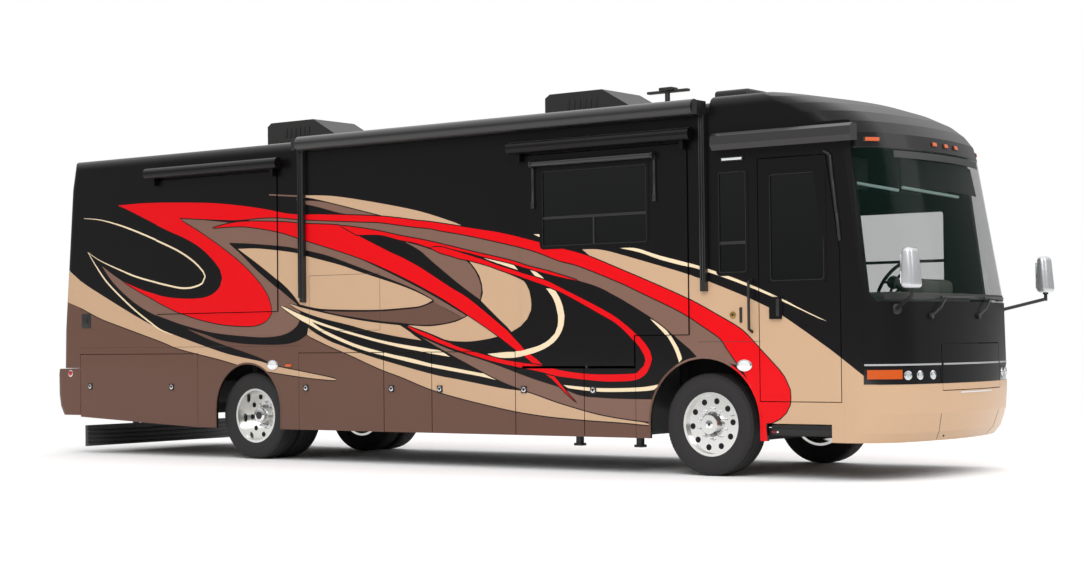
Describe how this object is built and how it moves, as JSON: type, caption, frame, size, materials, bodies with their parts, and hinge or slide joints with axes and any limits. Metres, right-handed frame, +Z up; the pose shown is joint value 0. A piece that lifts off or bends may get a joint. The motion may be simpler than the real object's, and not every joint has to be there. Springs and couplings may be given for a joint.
{
  "type": "motorhome",
  "caption": "Large motorhome with a flat front, rear engine, slide-out rooms, side bays with doors, rolled awnings and twin rear wheels.",
  "frame": {"origin": "on the ground, at the middle of the bounding box's bottom", "axes": "+X to the vehicle's front, +Y to its left, +Z up"},
  "size_m": [11.6, 3.16, 3.868],
  "materials": {
    "body_paint": "gloss",
    "frame_paint": "satin",
    "cast_steel": "rough",
    "polished_wheel": "polished",
    "tyre_rubber": "matte",
    "spring_rubber": "matte",
    "tinted_glass": "clear",
    "lamp_lens": "gloss",
    "clear_lens": "gloss",
    "black_plastic": "matte",
    "roof_sheet": "satin",
    "unit_cover": "satin",
    "awning_case": "satin",
    "bay_sheet": "satin",
    "floor_board": "matte",
    "seat_cover": "matte",
    "dash_cover": "matte",
    "step_metal": "satin"
  },
  "bodies": {
    "coach": {"chassis_frame": "frame_paint", "floor": "floor_board", "right_wall": "body_paint", "left_wall": "body_paint", "side_glass": "tinted_glass", "roof": "roof_sheet", "front_cap": "body_paint", "windshield": "tinted_glass", "front_bumper": "body_paint", "headlamps": "clear_lens", "rear_cap": "body_paint", "tail_lamps": "lamp_lens", "rear_bumper": "body_paint", "skirt_panels": "body_paint", "bay_boxes": "bay_sheet", "engine_block": "cast_steel", "rear_guard": "black_plastic", "front_axle_beam": "cast_steel", "rear_axle_housing": "cast_steel", "air_springs": "spring_rubber", "awnings": "awning_case", "roof_air_units": "unit_cover", "mirrors": "black_plastic", "wipers": "black_plastic", "dashboard": "dash_cover", "steering_wheel": "dash_cover", "cab_seats": "seat_cover", "grab_rail": "step_metal"},
    "right_knuckle": {"right_knuckle": "cast_steel"},
    "front_right_wheel": {"front_right_rim": "polished_wheel", "front_right_tyre": "tyre_rubber"},
    "rear_right_wheels": {"rear_right_rims": "polished_wheel", "rear_right_tyres": "tyre_rubber"},
    "left_knuckle": {"left_knuckle": "cast_steel"},
    "front_left_wheel": {"front_left_rim": "polished_wheel", "front_left_tyre": "tyre_rubber"},
    "rear_left_wheels": {"rear_left_rims": "polished_wheel", "rear_left_tyres": "tyre_rubber"},
    "entry_door": {"entry_door": "body_paint", "entry_door_glass": "tinted_glass"},
    "entry_step": {"entry_step": "step_metal"},
    "right_bay_door_1": {"right_bay_door_1": "body_paint"},
    "right_bay_door_2": {"right_bay_door_2": "body_paint"},
    "right_bay_door_3": {"right_bay_door_3": "body_paint"},
    "right_bay_door_4": {"right_bay_door_4": "body_paint"},
    "right_bay_door_5": {"right_bay_door_5": "body_paint"},
    "left_bay_door_1": {"left_bay_door_1": "body_paint"},
    "left_bay_door_2": {"left_bay_door_2": "body_paint"},
    "left_bay_door_3": {"left_bay_door_3": "body_paint"},
    "right_tail_door": {"right_tail_door": "body_paint"},
    "left_tail_door": {"left_tail_door": "body_paint"},
    "front_hood": {"front_hood": "body_paint"},
    "engine_door": {"engine_door": "body_paint"},
    "right_front_slide": {"right_front_slide": "body_paint", "right_slide_glass": "tinted_glass"},
    "right_rear_slide": {"right_rear_slide": "body_paint"},
    "left_slide": {"left_slide": "body_paint", "left_slide_glass": "tinted_glass"}
  },
  "joints": [
    {"name": "right_steer", "type": "hinge", "parent": "coach", "child": "right_knuckle", "pos_m": [3.5, -0.87, 0.483], "axis": [0, 0, 1], "range_deg": [-40, 40]},
    {"name": "front_right_spin", "type": "hinge", "parent": "right_knuckle", "child": "front_right_wheel", "pos_m": [3.5, -1.052, 0.483], "axis": [0, 1, 0], "continuous": true},
    {"name": "rear_right_spin", "type": "hinge", "parent": "coach", "child": "rear_right_wheels", "pos_m": [-2.48, -0.883, 0.483], "axis": [0, 1, 0], "continuous": true},
    {"name": "left_steer", "type": "hinge", "parent": "coach", "child": "left_knuckle", "pos_m": [3.5, 0.87, 0.483], "axis": [0, 0, 1], "range_deg": [-40, 40]},
    {"name": "front_left_spin", "type": "hinge", "parent": "left_knuckle", "child": "front_left_wheel", "pos_m": [3.5, 1.052, 0.483], "axis": [0, 1, 0], "continuous": true},
    {"name": "rear_left_spin", "type": "hinge", "parent": "coach", "child": "rear_left_wheels", "pos_m": [-2.48, 0.883, 0.483], "axis": [0, 1, 0], "continuous": true},
    {"name": "entry_door_hinge", "type": "hinge", "parent": "coach", "child": "entry_door", "pos_m": [4.944, -1.279, 1.8], "axis": [0, 0, 1], "range_deg": [0, 95]},
    {"name": "entry_step_slide", "type": "slide", "parent": "coach", "child": "entry_step", "axis": [0, -1, 0], "range_m": [0, 0.3]},
    {"name": "right_bay_door_1_hinge", "type": "hinge", "parent": "coach", "child": "right_bay_door_1", "pos_m": [-0.465, -1.279, 0.76], "axis": [0, 0, 1], "range_deg": [0, 90]},
    {"name": "right_bay_door_2_hinge", "type": "hinge", "parent": "coach", "child": "right_bay_door_2", "pos_m": [0.193, -1.279, 0.76], "axis": [0, 0, 1], "range_deg": [0, 90]},
    {"name": "right_bay_door_3_hinge", "type": "hinge", "parent": "coach", "child": "right_bay_door_3", "pos_m": [1.283, -1.279, 0.76], "axis": [0, 0, 1], "range_deg": [0, 90]},
    {"name": "right_bay_door_4_hinge", "type": "hinge", "parent": "coach", "child": "right_bay_door_4", "pos_m": [2.128, -1.279, 0.76], "axis": [0, 0, 1], "range_deg": [0, 90]},
    {"name": "right_bay_door_5_hinge", "type": "hinge", "parent": "coach", "child": "right_bay_door_5", "pos_m": [2.735, -1.279, 0.76], "axis": [0, 0, 1], "range_deg": [0, 90]},
    {"name": "left_bay_door_1_hinge", "type": "hinge", "parent": "coach", "child": "left_bay_door_1", "pos_m": [-0.465, 1.279, 0.76], "axis": [0, 0, -1], "range_deg": [0, 90]},
    {"name": "left_bay_door_2_hinge", "type": "hinge", "parent": "coach", "child": "left_bay_door_2", "pos_m": [1.283, 1.279, 0.76], "axis": [0, 0, -1], "range_deg": [0, 90]},
    {"name": "left_bay_door_3_hinge", "type": "hinge", "parent": "coach", "child": "left_bay_door_3", "pos_m": [2.735, 1.279, 0.76], "axis": [0, 0, -1], "range_deg": [0, 90]},
    {"name": "right_tail_door_hinge", "type": "hinge", "parent": "coach", "child": "right_tail_door", "pos_m": [-4.28, -1.279, 1.181], "axis": [-1, 0, 0], "range_deg": [0, 85]},
    {"name": "left_tail_door_hinge", "type": "hinge", "parent": "coach", "child": "left_tail_door", "pos_m": [-4.28, 1.279, 1.181], "axis": [1, 0, 0], "range_deg": [0, 85]},
    {"name": "front_hood_hinge", "type": "hinge", "parent": "coach", "child": "front_hood", "pos_m": [5.661, 0, 1.224], "axis": [0, -1, 0], "range_deg": [0, 75]},
    {"name": "engine_door_hinge", "type": "hinge", "parent": "coach", "child": "engine_door", "pos_m": [-5.641, 0, 1.804], "axis": [0, 1, 0], "range_deg": [0, 75]},
    {"name": "right_front_slide_out", "type": "slide", "parent": "coach", "child": "right_front_slide", "axis": [0, -1, 0], "range_m": [0, 0.6]},
    {"name": "right_rear_slide_out", "type": "slide", "parent": "coach", "child": "right_rear_slide", "axis": [0, -1, 0], "range_m": [0, 0.6]},
    {"name": "left_slide_out", "type": "slide", "parent": "coach", "child": "left_slide", "axis": [0, 1, 0], "range_m": [0, 0.6]}
  ],
  "couplings": [
    {"joint": "left_steer", "follows": "right_steer", "ratio": 1}
  ]
}
